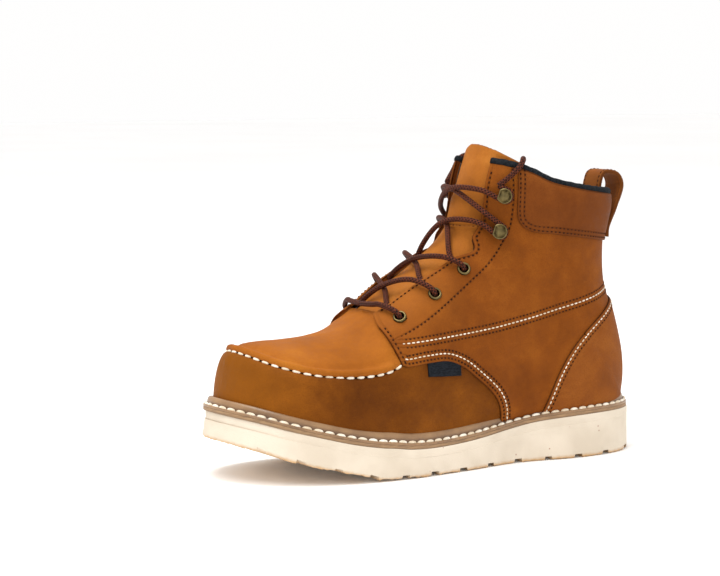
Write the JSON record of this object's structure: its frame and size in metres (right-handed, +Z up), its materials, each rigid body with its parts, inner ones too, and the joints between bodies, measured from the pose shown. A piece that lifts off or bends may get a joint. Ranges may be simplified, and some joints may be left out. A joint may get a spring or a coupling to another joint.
{
  "type": "work boot",
  "caption": "Lace-up moccasin-toe work boot in brown oiled leather with a storm welt, speed hooks and a cream wedge sole, left foot.",
  "frame": {"origin": "on the floor, at the middle of the bounding box of the boot", "axes": "+X from the heel to the toe, +Y to the outer (lateral) side of this left boot, +Z up"},
  "size_m": [0.305, 0.1112, 0.2036],
  "materials": {
    "sole_rubber": "satin, cream, slightly grainy sidewall",
    "midsole_edge": "matte cut edge",
    "welt_leather": "glossy rounded bead, buffed edge",
    "footbed": "matte dark textile",
    "upper_leather": "oiled pull-up leather, satin",
    "tongue_leather": "satin, lighter brown",
    "plug_leather": "satin, lighter brown on top",
    "cuff_leather": "matte soft nubuck",
    "binding_tape": "matte black woven",
    "antique_brass": "aged, satin",
    "lace_cord": "round braid, slight sheen"
  },
  "bodies": {
    "root": {"outsole": "sole_rubber", "midsole": "midsole_edge", "welt": "welt_leather", "insole": "footbed", "upper": "upper_leather", "tongue": "tongue_leather", "apron": "plug_leather", "heel_counter": "upper_leather", "collar_cuff": "cuff_leather", "collar_binding": "binding_tape", "pull_loop": "upper_leather", "side_tag": "binding_tape", "eyelet_1_lateral": "antique_brass", "eyelet_2_lateral": "antique_brass", "eyelet_3_lateral": "antique_brass", "hook_1_lateral": "antique_brass", "hook_2_lateral": "antique_brass", "eyelet_1_medial": "antique_brass", "eyelet_2_medial": "antique_brass", "eyelet_3_medial": "antique_brass", "hook_1_medial": "antique_brass", "hook_2_medial": "antique_brass", "lace_bar": "lace_cord", "lace_cross_1": "lace_cord", "lace_cross_2": "lace_cord", "lace_cross_3": "lace_cord", "lace_cross_4": "lace_cord", "lace_end_lateral": "lace_cord", "lace_end_medial": "lace_cord"}
  },
  "joints": []
}
